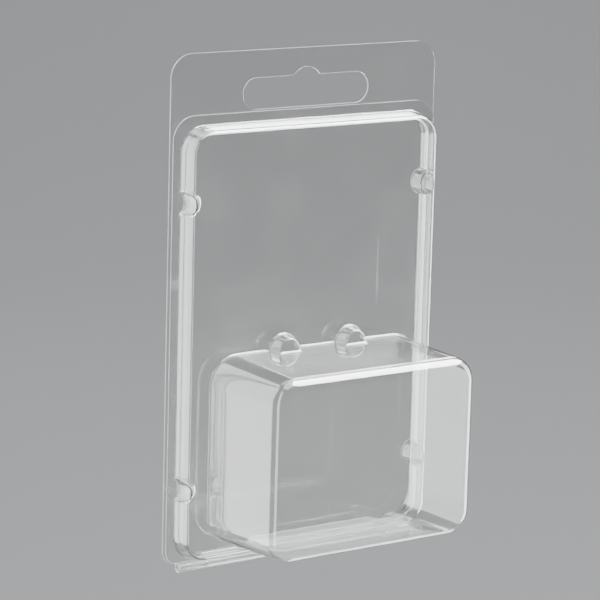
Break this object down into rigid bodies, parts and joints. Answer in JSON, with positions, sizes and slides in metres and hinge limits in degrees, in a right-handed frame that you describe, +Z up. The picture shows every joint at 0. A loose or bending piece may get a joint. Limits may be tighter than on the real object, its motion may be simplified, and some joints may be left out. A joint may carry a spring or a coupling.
{
  "type": "plastic clamshell pack",
  "caption": "Clear hang-tab clamshell pack: a flat card with a euro slot, hinged at the bottom to a front with a shallow tray and a deep product box.",
  "frame": {"origin": "centre of the hang slot, on the rear face of the card", "axes": "+Z up, +X to the right seen from the front, +Y to the rear; the product box stands forward along -Y"},
  "size_m": [0.0674, 0.0286, 0.1084],
  "materials": {
    "clear_sheet": "clear, glossy, with faint handling scuffs"
  },
  "bodies": {
    "back_half": {"back_shell": "clear_sheet", "living_hinge": "clear_sheet"},
    "front_half": {"front_shell": "clear_sheet"}
  },
  "joints": [
    {"name": "front_swing", "type": "hinge", "parent": "back_half", "child": "front_half", "pos_m": [0, -0.00055, -0.09855], "axis": [1, 0, 0], "range_deg": [0, 180], "deforming": ["living_hinge"]}
  ]
}
